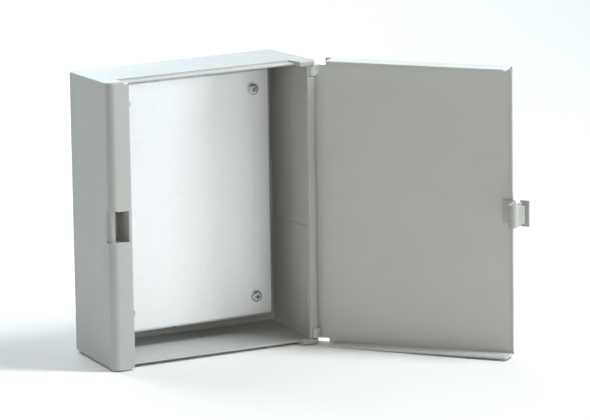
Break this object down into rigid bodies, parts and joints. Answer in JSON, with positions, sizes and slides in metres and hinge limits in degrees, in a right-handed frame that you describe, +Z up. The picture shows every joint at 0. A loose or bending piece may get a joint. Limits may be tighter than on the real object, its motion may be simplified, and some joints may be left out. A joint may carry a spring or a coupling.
{
  "type": "wall enclosure with hinged door",
  "caption": "Small grey moulded wall enclosure for fire alarm equipment, with a flanged side-hinged door, a snap latch and a folded steel mounting plate inside.",
  "frame": {"origin": "centre of the four wall holes, on the flat back face of the case", "axes": "+Y out of the back, towards the wall; -Y out of the front; +Z up; +X towards the hinge side"},
  "size_m": [0.3314, 0.2223, 0.2522],
  "materials": {
    "grey_plastic": "fine matt moulded",
    "latch_plastic": "smooth moulded",
    "galvanised_sheet": "fine matt zinc grain",
    "screw_steel": "bright zinc plated",
    "pin_steel": "drawn steel",
    "insert_brass": "turned"
  },
  "bodies": {
    "case": {"case_shell": "grey_plastic", "hinge_pin_upper": "pin_steel", "hinge_pin_lower": "pin_steel", "mounting_plate": "galvanised_sheet", "plate_screws": "screw_steel", "threaded_inserts": "insert_brass"},
    "door": {"door": "grey_plastic", "latch_spring": "latch_plastic"},
    "latch": {"latch_arm": "latch_plastic"}
  },
  "joints": [
    {"name": "door_hinge", "type": "hinge", "parent": "case", "child": "door", "pos_m": [0.0962, -0.077, 0], "axis": [0, 0, 1], "range_deg": [-133, 6]},
    {"name": "latch_flex", "type": "hinge", "parent": "door", "child": "latch", "pos_m": [0.21584, -0.22058, 0], "axis": [0, 0, 1], "range_deg": [0, 8], "stiffness_Nm_per_rad": 0.3}
  ]
}
